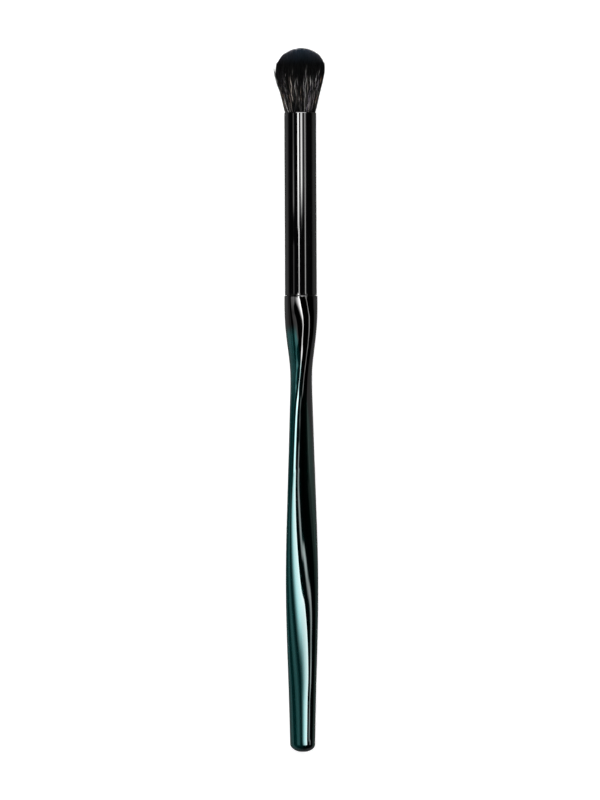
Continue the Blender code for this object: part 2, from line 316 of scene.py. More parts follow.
@dataclass(frozen=True)
class LacquerFinish:
    """Teal lacquer on a bright metallic ground, under a clear coat, and black towards the neck.

    The colour follows how much the surface faces right, and that is painted light and shade:
    deepest green-blue where the bar faces left, where a dim glow is mirrored, least tinted where
    the main highlight falls, and near black where it faces right, where nothing is mirrored. On
    the axis it turns black within fade_half of fade_place. Each step to the left, out to
    fade_left, sets the fade fade_slant steps higher, and each to the right sets it as much lower.
    """

    # The colour by how much the surface faces right: painted light and shade.
    teal_and_painted_light: Stops = (
        (0.06, (0.010, 0.250, 0.245)), (0.15, (0.008, 0.200, 0.198)),
        (0.24, (0.006, 0.150, 0.150)), (0.29, (0.005, 0.118, 0.119)),
        (0.33, (0.004, 0.084, 0.086)), (0.37, (0.003, 0.056, 0.057)),
        (0.42, (0.003, 0.036, 0.036)), (0.48, (0.003, 0.022, 0.022)),
        (0.64, (0.002, 0.016, 0.015)), (0.72, (0.001, 0.003, 0.003)),
        (0.80, (0.002, 0.016, 0.013)), (0.90, (0.004, 0.060, 0.045)),
    )
    painted_light_attribute: str = "facing_for_painted_light"
    black: Colour = (0.0012, 0.0013, 0.0013)
    fade_place: float = 97.2 * MM
    fade_half: float = 1.9 * MM
    fade_slant: float = 7.0
    fade_left: float = -1.2 * MM
    metallic: float = 0.9
    flake_size: float = 0.10 * MM
    flake_light: float = 0.2
    flake_roughness: float = 0.02
    roughness: float = 0.05
    coat_roughness: float = 0.02
    coat_index: float = 1.6
    peel_size: float = 2.6 * MM
    peel_strength: float = 0.03
    peel_depth: float = 0.02 * MM

    def facing_for_painted_light(self, piece: Piece, axis: BrushAxis) -> None:
        """Note on the piece how much it faces right, from 0 to 1, which sets its painted light and
        shade.

        Args:
            piece: the bar, laid in its place.
            axis: the brush's own frame.
        """
        normals = np.empty(3 * len(piece.data.vertices), dtype=np.float32)
        piece.data.vertices.foreach_get("normal", normals)
        facing = normals.reshape(-1, 3) @ np.array(axis.direction(1, 0, 0))
        notes = piece.data.attributes.new(self.painted_light_attribute, "FLOAT", "POINT")
        notes.data.foreach_set("value", (0.5 + 0.5 * facing).astype(np.float32))

    def fade(self, recipe: Recipe, axis: BrushAxis) -> Socket:
        """Return how black the lacquer is, from 0 on the grip to 1 at the neck.

        Args:
            recipe: the material that is being made.
            axis: the brush's own frame, along which the colour fades.

        Returns:
            The socket of the fade.
        """
        side = recipe.math("MAXIMUM", axis.reading(recipe, 1, 0, 0), self.fade_left)
        height = axis.reading(recipe, 0, 0, 1)
        place = recipe.math("MULTIPLY_ADD", side, self.fade_slant, height)
        low, high = self.fade_place - self.fade_half, self.fade_place + self.fade_half
        return recipe.share(place, low, high, interpolation_type="SMOOTHSTEP")

    def make(self, axis: BrushAxis) -> bpy.types.Material:
        """Make the material.

        Args:
            axis: the brush's own frame.

        Returns:
            The lacquer.
        """
        recipe = Recipe("metallic_lacquer")
        cells = {"Vector": recipe.place(), "Scale": 1 / self.flake_size}
        flakes = recipe.node("TexVoronoi", cells)
        glitter = recipe.node("SeparateColor", {0: flakes.outputs["Color"]}).outputs[0]
        facing = recipe.node("Attribute", attribute_name=self.painted_light_attribute).outputs["Fac"]
        light = recipe.math("MULTIPLY_ADD", glitter, self.flake_light, 1 - self.flake_light / 2)
        # Painted light and shade: the colour follows which way the surface faces.
        teal_and_painted_light = recipe.dimmed(recipe.ramp(facing, self.teal_and_painted_light), light)
        colours = {"Factor": self.fade(recipe, axis), 6: teal_and_painted_light, 7: (*self.black, 1)}
        rough = recipe.math("MULTIPLY_ADD", glitter, self.flake_roughness, self.roughness)
        return recipe.finish("BsdfPrincipled", {
            "Base Color": recipe.node("Mix", colours, data_type="RGBA").outputs[2],
            "Roughness": rough,
            "Metallic": self.metallic,
            "Coat Weight": 1,
            "Coat Roughness": self.coat_roughness,
            "Coat IOR": self.coat_index,
            "Normal": recipe.bump(
                recipe.noise(self.peel_size), self.peel_strength, self.peel_depth
            ),
        })


@dataclass(frozen=True)
class EnamelFinish:
    """Deep black enamel, stoved on a drawn tube."""

    black: Colour = (0.0012, 0.0012, 0.0014)
    bloom: float = 1.6
    roughness: float = 0.016
    roughness_spread: float = 0.012
    index: float = 1.75
    peel_size: float = 3.0 * MM
    peel_strength: float = 0.03
    peel_depth: float = 0.02 * MM

    def make(self) -> bpy.types.Material:
        """Make the material.

        Returns:
            The enamel.
        """
        recipe = Recipe("black_enamel")
        cloud = recipe.noise(self.peel_size, 3)
        pale = tuple(self.bloom * part for part in self.black)
        return recipe.finish("BsdfPrincipled", {
            "Base Color": recipe.clouded(cloud, self.black, pale),
            "Roughness": recipe.math("MULTIPLY_ADD", cloud, self.roughness_spread, self.roughness),
            "IOR": self.index,
            "Normal": recipe.bump(cloud, self.peel_strength, self.peel_depth),
        })


class HairHue(Enum):
    """What a lighter hair is tinted with, as its place on the finish's scale of hues."""

    NAVY = 0
    VIOLET = 0.25
    GREY = 0.5
    BEIGE = 0.75
    RUST = 1


@dataclass(frozen=True)
class HairFinish:
    """Fine soft hair, nearly black, with lighter, bluer and browner ones among it; much of that
    lightness is painted sheen, rim light and glints.
    """

    black: Colour = (0.0016, 0.0017, 0.0019)
    hues: Stops = (
        (HairHue.NAVY.value, (0.42, 0.66, 1.00)),
        (HairHue.VIOLET.value, (0.92, 0.84, 1.00)),
        (HairHue.GREY.value, (1.00, 0.98, 0.96)),
        (HairHue.BEIGE.value, (1.00, 0.88, 0.78)),
        (HairHue.RUST.value, (1.00, 0.62, 0.42)),
    )
    roughness: float = 0.46
    roughness_spread: float = 0.12
    fray_size: float = 0.4 * MM
    gloss: float = 0.03

    def make(self) -> bpy.types.Material:
        """Make the material; the map's U is how light a hair is and its V is its hue.

        Returns:
            The hair's material.
        """
        recipe = Recipe("hair_fibre")
        light, hue, _ = recipe.parts("tone")
        tint = recipe.dimmed(recipe.ramp(hue, self.hues), light)
        fray = recipe.noise(self.fray_size)
        colours = {0: tint, 1: self.black}
        return recipe.finish("BsdfPrincipled", {
            "Base Color": recipe.node("VectorMath", colours, operation="ADD").outputs[0],
            "Roughness": recipe.math("MULTIPLY_ADD", fray, self.roughness_spread, self.roughness),
            "Specular IOR Level": self.gloss,
        })


@dataclass(frozen=True)
class PlainFinish:
    """A hidden piece's finish: one colour, clouded and slightly rough."""

    name: str
    colour: Colour
    roughness: float
    grain_size: float
    shade: float = 0.8
    roughness_spread: float = 0.1
    grain_strength: float = 0.2
    grain_depth: float = 0.05 * MM

    def make(self) -> bpy.types.Material:
        """Make the material.

        Returns:
            The material of the hidden piece.
        """
        recipe = Recipe(self.name)
        grain = recipe.noise(self.grain_size, 3)
        dark = tuple(self.shade * part for part in self.colour)
        return recipe.finish("BsdfPrincipled", {
            "Base Color": recipe.clouded(grain, dark, self.colour),
            "Roughness": recipe.math("MULTIPLY_ADD", grain, self.roughness_spread, self.roughness),
            "Normal": recipe.bump(grain, self.grain_strength, self.grain_depth),
        })


@dataclass(frozen=True)
class Section:
    """One ring of a lofted bar: its height, the halves of its oval and its turn."""

    height: float
    wide: float
    narrow: float
    turn: float


def loft(name: str, sections: Sequence[Section], sides: int) -> Piece:
    """Extrude a closed bar ring by ring from a filled circle.

    Args:
        name: the piece's name.
        sections: its rings, upwards.
        sides: how many sides each ring has.

    Returns:
        The bar, upright on the axis.
    """
    first = sections[0]
    base = {"vertices": sides, "radius": first.wide, "location": (0, 0, first.height)}
    piece = Bench.add(bpy.ops.mesh.primitive_circle_add, name, fill_type="NGON", **base)
    bpy.ops.object.mode_set(mode="EDIT")
    bpy.ops.mesh.select_all(action="SELECT")
    Bench.stretch(1, first.narrow / first.wide, first.height)
    Bench.turn(first.turn, first.height)
    for low, high in zip(sections, sections[1:]):
        climb = (0, 0, high.height - low.height)
        bpy.ops.mesh.extrude_region_move(TRANSFORM_OT_translate={"value": climb})
        Bench.turn(-low.turn, high.height)
        Bench.stretch(high.wide / low.wide, high.narrow / low.narrow, high.height)
        Bench.turn(high.turn, high.height)
    bpy.ops.mesh.select_all(action="SELECT")
    bpy.ops.mesh.normals_make_consistent(inside=False)
    bpy.ops.object.mode_set(mode="OBJECT")
    bpy.ops.object.transform_apply()
    return piece


def smooth_value(rows: Rows, column: int, place: float) -> float:
    """Read one column of a table of stations on a smooth curve through its rows.

    Args:
        rows: the stations, each starting with its place.
        column: the column to read.
        place: where to read it.

    Returns:
        The value there.
    """
    last = len(rows) - 1
    i = max(k for k in range(last) if k == 0 or rows[k][0] <= place)
    before, after = rows[max(i - 1, 0)], rows[min(i + 2, last)]
    low, high = rows[i], rows[i + 1]
    span = high[0] - low[0]
    t = (place - low[0]) / span
    rise = high[column] - low[column]
    bend = (high[column] - before[column]) / (high[0] - before[0]) * span - rise
    swing = (after[column] - low[column]) / (after[0] - low[0]) * span - rise
    return low[column] + t * rise + t * (1 - t) * ((1 - t) * bend - t * swing)


@dataclass
class Handle:
    """The moulded oval bar that twists between its end and its neck, with its hidden tenon.

    Its shares are stations: a part of its length, the halves of its oval as parts of the grip's
    or of the shoulder's radius, and its turn in degrees. Its dome ends in a flat, and a ring
    stands crisp away from each corner of the tenon, to keep it sharp.
    """

    length: float = 114.45 * MM
    grip_width: float = 8.16 * MM
    grip_thickness: float = 5.34 * MM
    shoulder_radius: float = 4.17 * MM
    shoulder_edge: float = 0.22 * MM
    dome_depth: float = 2.0 * MM
    flat_share: float = 0.28
    ring_pitch: float = 2.4 * MM
    tenon_radius: float = 3.35 * MM
    tenon_length: float = 14.0 * MM
    tenon_chamfer: float = 0.5 * MM
    groove_start: float = 4.7 * MM
    groove_length: float = 4.0 * MM
    groove_depth: float = 0.7 * MM
    crisp: float = 0.06 * MM
    smooth_to: float = 50.0
    sides: int = 40
    dome_steps: int = 8
    edge_steps: int = 4
    finish: LacquerFinish = field(default_factory=LacquerFinish)
    grip_shares: Rows = (
        (0, 1, 1, -59), (0.135, 1, 1, -44), (0.266, 1, 1, -21), (0.398, 1, 1, 7),
        (0.53, 1, 1, 34), (0.61, 1, 1, 46.5), (0.695, 0.98, 1, 58.5), (0.762, 0.965, 1, 68.5),
        (0.806, 0.92, 1.01, 80), (0.837, 0.89, 1.04, 93),
    )
    neck_shares: Rows = (
        (0.863, 0.9, 0.72, 107), (0.889, 0.97, 0.78, 119), (0.915, 1.04, 0.82, 128),
        (0.941, 1.06, 0.88, 134), (0.968, 1.03, 0.95, 139), (1, 1, 1, 143),
    )

    def stations(self) -> list[tuple[float, float, float, float]]:
        """Turn the stations' shares into real sizes.

        Returns:
            The stations, with the halves of the oval in metres.
        """
        wide, narrow, round_ = self.grip_width / 2, self.grip_thickness / 2, self.shoulder_radius
        grip = [(p, w * wide, n * narrow, a) for p, w, n, a in self.grip_shares]
        return grip + [(p, w * round_, n * round_, a) for p, w, n, a in self.neck_shares]

    def section(self, height: float, share: float = 1) -> Section:
        """Return the bar's section at a height, drawn in by a share.

        Args:
            height: the height above the end of the handle.
            share: the part of the full oval that is left there.

        Returns:
            The section.
        """
        rows, place = self.stations(), height / self.length
        wide, narrow, turn = (smooth_value(rows, column, place) for column in (1, 2, 3))
        return Section(height, wide * share, narrow * share, math.radians(turn))

    def body_sections(self) -> list[Section]:
        """Set out the rings from the end flat to the edge of the shoulder.

        Returns:
            The rings, upwards.
        """
        made = []
        first = math.asin(self.flat_share)
        for step in range(self.dome_steps):
            angle = first + (math.pi / 2 - first) * step / self.dome_steps
            depth = self.dome_depth * (math.cos(first) - math.cos(angle))
            made.append(self.section(depth, math.sin(angle)))
        start = self.dome_depth * math.cos(first)
        span = self.length - self.shoulder_edge - start
        count = round(span / self.ring_pitch)
        return made + [self.section(start + span * k / count) for k in range(count + 1)]

    def round_section(self, radius: float, height: float) -> Section:
        """Return a round ring that keeps the turn of the shoulder."""
        return Section(height, radius, radius, math.radians(self.neck_shares[-1][3]))

    def tenon_sections(self) -> list[Section]:
        """Set out the rings of the shoulder's edge and of the tenon.

        Returns:
            The rings, upwards.
        """
        made = []
        centre = self.shoulder_radius - self.shoulder_edge
        for step in range(1, self.edge_steps + 1):
            angle = math.pi / 2 * step / self.edge_steps
            radius = centre + self.shoulder_edge * math.cos(angle)
            rise = self.shoulder_edge * (math.sin(angle) - 1)
            made.append(self.round_section(radius, self.length + rise))
        out, floor = self.tenon_radius, self.tenon_radius - self.groove_depth
        low = self.length + self.groove_start
        high, top = low + self.groove_length, self.length + self.tenon_length
        profile = (
            (out, self.length), (out, low), (floor, low), (floor, high),
            (out, high), (out, top - self.tenon_chamfer), (out - self.tenon_chamfer, top),
        )
        before = (centre, self.length)
        for corner, after in zip(profile, profile[1:] + ((0, top),)):
            for other in (before, after):
                gap = Vector(other) - Vector(corner)
                near = Vector(corner) + gap.normalized() * self.crisp
                made.append(self.round_section(near.x, near.y))
            before = corner
        return made

    def build(self, axis: BrushAxis) -> Piece:
        """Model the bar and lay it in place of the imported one.

        Args:
            axis: the brush's own frame.

        Returns:
            The finished piece.
        """
        # Subdividing draws a ring in, so each starts wider by as much.
        grow = 3 / (2 + math.cos(FULL_TURN / self.sides))
        rings = self.body_sections() + self.tenon_sections()
        rings = [Section(r.height, r.wide * grow, r.narrow * grow, r.turn) for r in rings]
        piece = loft("lacquered_handle", rings, self.sides)
        Bench.modify(piece, "SUBSURF", levels=2, render_levels=2)
        Bench.smooth(piece, self.smooth_to)
        axis.lay(piece)
        # The lacquer's painted light and shade follows this facing.
        self.finish.facing_for_painted_light(piece, axis)
        piece.data.materials.append(self.finish.make(axis))
        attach(piece, ROOT_BODY)
        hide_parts("handle")
        return piece


@dataclass
class Ferrule:
    """The drawn tube, rolled over at its mouth and at its skirt."""

    radius: float = 4.0 * MM
    length: float = 45.82 * MM
    wall: float = 0.35 * MM
    start: float = 114.53 * MM
    mouth_edge: float = 0.22 * MM
    skirt_edge: float = 0.1 * MM
    ring_gap: float = 0.04 * MM
    inner_edge: float = 0.08 * MM
    smooth_to: float = 40.0
    sides: int = 192
    edge_segments: int = 6
    finish: EnamelFinish = field(default_factory=EnamelFinish)

    @property
    def mouth(self) -> float:
        """Return the height of the tube's mouth."""
        return self.start + self.length

    def round_edge(self, piece: Piece, radius: float, height: float, width: float) -> None:
        """Round one circular edge of the tube.

        Args:
            piece: the tube, in object mode.
            radius: the edge's radius.
            height: the edge's height.
            width: how far the rounding reaches.
        """
        near = self.wall / 4
        mesh = piece.data
        on_edge = [
            abs(v.co.z - height) < near and abs(math.hypot(v.co.x, v.co.y) - radius) < near
            for v in mesh.vertices
        ]
        Bench.take(piece)
        bpy.ops.object.mode_set(mode="EDIT")
        bpy.ops.mesh.select_mode(type="EDGE")
        bpy.ops.mesh.select_all(action="DESELECT")
        bpy.ops.object.mode_set(mode="OBJECT")
        for edge in mesh.edges:
            edge.select = all(on_edge[i] for i in edge.vertices)
        bpy.ops.object.mode_set(mode="EDIT")
        bpy.ops.mesh.bevel(offset=width, segments=self.edge_segments, affect="EDGES")
        bpy.ops.object.mode_set(mode="OBJECT")

    def ring(self, piece: Piece, height: float) -> None:
        """Cut a ring of edges round the tube, so that its side shades straight up to there.

        Args:
            piece: the tube, in object mode.
            height: the ring's height.
        """
        Bench.take(piece)
        bpy.ops.object.mode_set(mode="EDIT")
        bpy.ops.mesh.select_all(action="SELECT")
        bpy.ops.mesh.bisect(threshold=TINY, plane_co=(0, 0, height), plane_no=(0, 0, 1))
        bpy.ops.object.mode_set(mode="OBJECT")

    def build(self, axis: BrushAxis) -> Piece:
        """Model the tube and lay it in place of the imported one.

        Args:
            axis: the brush's own frame.

        Returns:
            The finished piece.
        """
        piece = Bench.add(
            bpy.ops.mesh.primitive_cylinder_add,
            "enamelled_ferrule",
            vertices=self.sides,
            radius=self.radius,
            depth=self.length,
            end_fill_type="NOTHING",
            location=(0, 0, self.start + self.length / 2),
        )
        bpy.ops.object.transform_apply()
        Bench.modify(piece, "SOLIDIFY", thickness=self.wall, offset=-1)
        self.round_edge(piece, self.radius, self.mouth, self.mouth_edge)
        self.round_edge(piece, self.radius - self.wall, self.mouth, self.inner_edge)
        self.round_edge(piece, self.radius, self.start, self.skirt_edge)
        self.ring(piece, self.start + self.skirt_edge + self.ring_gap)
        self.ring(piece, self.mouth - self.mouth_edge - self.ring_gap)
        Bench.smooth(piece, self.smooth_to)
        axis.lay(piece)
        piece.data.materials.append(self.finish.make())
        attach(piece, ROOT_BODY)
        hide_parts("ferrule")
        return piece


@dataclass(frozen=True)
class HairLayer:
    """One piece of the tuft's dark hair: how many hairs it has, where they stand and how they lie.

    Its shares are parts of the tuft's spread, and its hairs lean together in locks.
    """

    name: str
    count: int
    inner_share: float
    outer_share: float
    thickness: float
    wave: float
    lock_count: int
    ragged: float
    # How bright the layer's painted glints are.
    painted_streak_light: float
    seed: int
    segments: int = 8


@dataclass(frozen=True)
class PaintedGlintLock:
    """A few hairs with a painted glint that shows between two heights above the mouth, in
    millimetres.

    Its direction is the angle about the brush from the viewer's side, in degrees, positive to
    the right, and its lean is how far that changes from the low height to the high one.
    """

    direction: float
    low: float
    high: float
    light: float
    hue: HairHue = HairHue.GREY
    count: int = 4
    lean: float = 0


@dataclass(frozen=True)
class BackRule:
    """How painted glint locks are scattered over the sides and the back, in millimetres and
    degrees.
    """

    count: int = 26
    reach: float = 8
    crowd: float = 1.3
    length: Range = (1.5, 5.5)
    light: float = 0.08
    light_span: float = 0.6
    arc: Range = (80, 280)


@dataclass(frozen=True)
class LockRule:
    """How the hairs of a painted glint lock differ, wave and end.

    They go on past where they show by the overrun, but no further above the belly than the
    limit, and wave fully from the root's height upwards.
    """

    segments: int = 20
    height_spread: float = 0.06
    overrun: float = 2.0 * MM
    limit: float = 1.5 * MM
    scatter: float = 0.6
    wave: float = 0.13 * MM
    wave_share: float = 0.45
    phase: float = 0.37
    phase_spread: float = 0.06
    root: float = 2.0 * MM
    shares: Range = (1.008, 1.022)
    fade_in: float = 0.8 * MM
    fade_out: float = 1.2 * MM
    levels: Range = (0.5, 1.5)
    half: float = 0.042 * MM
    halves: Range = (0.7, 1.2)


@dataclass(frozen=True)
class StrayRule:
    """How stray hairs stand clear of the tuft, a part of them about its left, in degrees."""

    count: int = 140
    segments: int = 10
    left_part: float = 0.55
    left: float = -90
    left_spread: float = 28
    sway: float = 0.1
    tips: Range = (8.0 * MM, 13.5 * MM)
    proud_left: float = 0.2
    proud: float = 0.08
    proud_power: float = 1.6
    share: float = 0.98
    clear_from: float = 0.35
    clear_power: float = 1.3
    side: float = 0.2 * MM
    half: float = 0.04 * MM
    light: float = 0.05
    hues: Range = (0.25, 0.75)


@dataclass(frozen=True)
class PaintedStreakRule:
    """How a lock of the dark hair is lightened along a short stretch, as a painted glint.

    The middles of the stretches crowd towards the lowest, and bright ones are rare.
    """

    lowest: float = 0.2 * MM
    span: float = 7.0 * MM
    crowd: float = 1.2
    reach: Range = (0.8 * MM, 3.0 * MM)
    scatter: float = 0.5 * MM
    rare: float = 3.5
    fade: float = 1.3
    hues: Range = (0.3, 0.9)
    levels: Range = (0.4, 1.6)


@dataclass
class Strands:
    """Hairs as arrays, a row for each hair: centre lines, half thicknesses, lightness and hues."""

    centre: np.ndarray
    half: np.ndarray
    light: np.ndarray
    hue: np.ndarray
    sides: int = 3

    def sweep(self, name: str, rise: float, rng: np.random.Generator) -> Piece:
        """Sweep a thin strand along each centre line.

        Args:
            name: the piece's name.
            rise: how high the mouth is above the end of the handle.
            rng: the random numbers that turn the strands.

        Returns:
            The piece, upright on the brush's axis, with its tones in its map.
        """
        (n, k, _), sides = self.centre.shape, self.sides
        along = np.gradient(self.centre, axis=1)
        along /= np.linalg.norm(along, axis=2, keepdims=True)
        # A point on the axis faces no way, so all are moved a tiny way off it.
        side = np.cross(along, self.centre * (1, 1, 0) + (TINY, 0, 0))
        side /= np.linalg.norm(side, axis=2, keepdims=True)
        front = np.cross(side, along)
        spin = rng.random((n, 1, 1)) * FULL_TURN
        rings = []
        for corner in range(sides):
            angle = spin + FULL_TURN * corner / sides
            push = front * np.cos(angle) + side * np.sin(angle)
            rings.append(self.centre + push * self.half[..., None])
        points = np.stack(rings, axis=2) + (0, 0, rise)
        index = np.arange(n * k * sides).reshape(n, k, sides)
        low, high = index[:, :-1], index[:, 1:]
        walls = np.stack([low, np.roll(low, -1, 2), np.roll(high, -1, 2), high], axis=-1)
        ends = np.concatenate([index[:, 0, ::-1], index[:, -1, :]])
        mesh = bpy.data.meshes.new(name)
        faces = walls.reshape(-1, 4).tolist() + ends.tolist()
        mesh.from_pydata(points.reshape(-1, 3).tolist(), [], faces)
        loops = np.empty(len(mesh.loops), dtype=np.int32)
        mesh.loops.foreach_get("vertex_index", loops)
        tone = [np.broadcast_to(part, (n, k)) for part in (self.light, self.hue)]
        tone = np.stack(tone, axis=-1).reshape(-1, 2).repeat(sides, axis=0)
        mesh.uv_layers.new(name="tone").data.foreach_set("uv", tone[loops].ravel())
        mesh.shade_smooth()
        piece = bpy.data.objects.new(name, mesh)
        bpy.context.scene.collection.objects.link(piece)
        return piece


@dataclass
class Tuft:
    """The domed tuft, laid hair by hair on the outline that it has in the brush.

    Heights in it are measured from the ferrule's mouth. Its lean is in millimetres at parts of
    its reach, and its outline in parts of the belly's radius at parts of its reach.
    """

    mouth: float
    reach: float = 16.45 * MM
    belly_radius: float = 6.14 * MM
    belly_height: float = 10.4 * MM
    root_drop: float = 0.4 * MM
    rest_depth: float = 0.55 * MM
    rest_slope: float = 0.011
    dome_bulge: float = 2.6
    dome_power: float = 1.82
    dome_share: float = 0.985
    dome_draw: float = 0.12
    dome_samples: int = 400
    outline_samples: int = 80
    tip_share: float = 0.97
    tip_taper: float = 3.0 * MM
    tip_power: float = 0.6
    tip_least: float = 0.04
    light_tip_least: float = 0.05
    halves: Range = (0.7, 1.3)
    wave_length: float = 8.0 * MM
    own_wave: float = 0.35
    own_wave_share: float = 0.6
    phase_spread: float = 0.08
    lock_pull: float = 0.6
    # The hair turns lighter navy towards the dome's top: painted sheen.
    painted_sheen_from: float = 12.2 * MM
    painted_sheen_light: float = 0.075
    painted_sheen_power: float = 1.3
    painted_sheen_levels: Range = (0.3, 1.7)
    tint_from: float = 0.3
    # The hair is lighter and more violet at the tuft's left and right sides: painted rim light.
    painted_rim_light: float = 0.9
    painted_rim_hue: float = 0.22
    lean_shares: Rows = (
        (0, 0), (0.35, -0.04), (0.58, -0.01), (0.7, 0.08), (0.8, 0.18), (0.9, 0.24), (1, 0.24),
    )
    outline_shares: Rows = (
        (-0.03, 0.58), (0, 0.59), (0.02, 0.618), (0.132, 0.69), (0.255, 0.765),
        (0.346, 0.828), (0.438, 0.89), (0.529, 0.94), (0.6, 0.978), (0.632, 0.985),
    )
    layers: tuple[HairLayer, ...] = (
        HairLayer("tuft_heart", 2400, 0, 0.82, 0.15 * MM, 0.08 * MM, 120, 0.4 * MM, 0, 1),
        HairLayer("tuft_body", 3800, 0.74, 0.97, 0.1 * MM, 0.16 * MM, 170, 0.5 * MM, 0.1, 2),
        HairLayer(
            "tuft_surface", 2600, 0.92, 1.02, 0.07 * MM, 0.24 * MM, 380, 0.9 * MM, 0.7, 5, 12
        ),
    )
    # Painted glints on the front: lighter, tinted stretches of hair that stand for light caught by
    # locks.
    locks: tuple[PaintedGlintLock, ...] = (
        PaintedGlintLock(16.3, 0.2, 11.6, 0.32, lean=-2),
        PaintedGlintLock(28, 6.6, 8.3, 0.8),
        PaintedGlintLock(25.7, 0.3, 6, 0.43, HairHue.VIOLET, lean=4),
        PaintedGlintLock(36.8, 5.6, 8.8, 0.26, lean=-2.4),
        PaintedGlintLock(47, 0.5, 4.5, 0.1, HairHue.VIOLET),
        PaintedGlintLock(52, 9, 10.3, 0.23),
        PaintedGlintLock(66, 7.6, 8.8, 0.32, HairHue.RUST),
        PaintedGlintLock(60, 2.6, 4.3, 0.38, HairHue.RUST, lean=4.5),
        PaintedGlintLock(-18, 9.2, 10, 0.13),
        PaintedGlintLock(-25.7, 2.8, 8.3, 0.5, HairHue.BEIGE, count=3, lean=1.5),
        PaintedGlintLock(-13.4, 4.2, 7, 0.32),
        PaintedGlintLock(-6.6, 6.6, 8.3, 0.29),
        PaintedGlintLock(-4.5, 2.6, 3.8, 0.23),
        PaintedGlintLock(-51, 0, 3.5, 0.8, count=3, lean=-9),
        PaintedGlintLock(-37, 5.2, 6.3, 0.32, lean=-15),
        PaintedGlintLock(-60, 3.6, 4.5, 0.46, HairHue.RUST),
        PaintedGlintLock(-38, 0.2, 3.2, 0.23, HairHue.BEIGE, count=3),
        PaintedGlintLock(-72, 4.6, 7.6, 0.23, HairHue.BEIGE),
        PaintedGlintLock(-44, 7.2, 9, 0.13),
    )
    back_rule: BackRule = BackRule()
    lock_rule: LockRule = LockRule()
    stray_rule: StrayRule = StrayRule()
    painted_streak_rule: PaintedStreakRule = PaintedStreakRule()
    light_seed: int = 11
    finish: HairFinish = field(default_factory=HairFinish)

    def outline(self, height: np.ndarray) -> np.ndarray:
        """Return the tuft's full radius, up to its belly.

        Args:
            height: heights above the mouth.

        Returns:
            The radius at each.
        """
        rows = self.outline_shares
        fine = np.linspace(rows[0][0], rows[-1][0], self.outline_samples)
        radii = [smooth_value(rows, 1, place) for place in fine]
        return np.interp(height / self.reach, fine, radii) * self.belly_radius

    def spread(self, height: np.ndarray) -> np.ndarray:
        """Return how wide the outermost hairs stand, without the dome.

        Args:
            height: heights above the mouth.

        Returns:
            The width at each.
        """
        above = np.maximum(height - self.belly_height, 0) / (self.reach - self.belly_height)
        draw = 1 - self.dome_draw * above**2
        return self.outline(np.minimum(height, self.belly_height)) * draw

    def tip_heights(self, shares: np.ndarray) -> np.ndarray:
        """Return where hairs meet the dome.

        Args:
            shares: how far out each hair stands, as a part of the spread.

        Returns:
            The height of each tip.
        """
        rise = np.linspace(0, 1, self.dome_samples)
        heights = self.belly_height + (self.reach - self.belly_height) * rise * self.dome_share
        curve = (1 - rise**self.dome_bulge) ** (1 / self.dome_power)
        meets = curve * self.outline(self.belly_height) / self.spread(heights)
        return np.interp(shares, meets[::-1], heights[::-1])

    def settle(self, points: np.ndarray) -> np.ndarray:
        """Lean the tuft a little and press it flat where it rests on the table.

        Args:
            points: points of the hair in the brush's own frame.

        Returns:
            The points, drawn towards the axis where they would be in the table.
        """
        made = points.copy()
        table = self.belly_radius - self.rest_depth
        table = table + self.rest_slope * (points[..., 2] - self.belly_height)
        reach = np.hypot(points[..., 0], points[..., 1])
        down = points[..., 1] / np.maximum(reach, LEAST)
        limit = self.belly_radius * np.maximum(down, LEAST)
        made[..., :2] *= np.where(down > 0, np.minimum(1, table / limit), 1)[..., None]
        made[..., 0] += np.interp(points[..., 2] / self.reach, *zip(*self.lean_shares)) * MM
        return made

    def fan(self, share: np.ndarray, angle: np.ndarray, height: np.ndarray,
            side: np.ndarray) -> np.ndarray:
        """Place hairs on the tuft.

        Args:
            share: how far out each hair stands, as a part of the full spread.
            angle: the direction of each point about the axis, in radians from X.
            height: the height of each point.
            side: how far each point is pushed sideways.

        Returns:
            The points in the brush's own frame.
        """
        radius = share * self.spread(height)
        x = radius * np.cos(angle) - side * np.sin(angle)
        y = radius * np.sin(angle) + side * np.cos(angle)
        return self.settle(np.stack([x, y, height], axis=-1))

    def climb(self, tip: np.ndarray, segments: int) -> tuple[np.ndarray, np.ndarray]:
        """Return the points of hairs as parts of their length, and their heights."""
        t = np.linspace(0, 1, segments + 1)[None, :]
        return t, (tip + self.root_drop) * t - self.root_drop

    def taper(self, tip: np.ndarray, height: np.ndarray, least: float) -> np.ndarray:
        """Return how thick hairs are towards their tips, as a part of their full thickness."""
        return np.clip((tip - height) / self.tip_taper, least, 1)

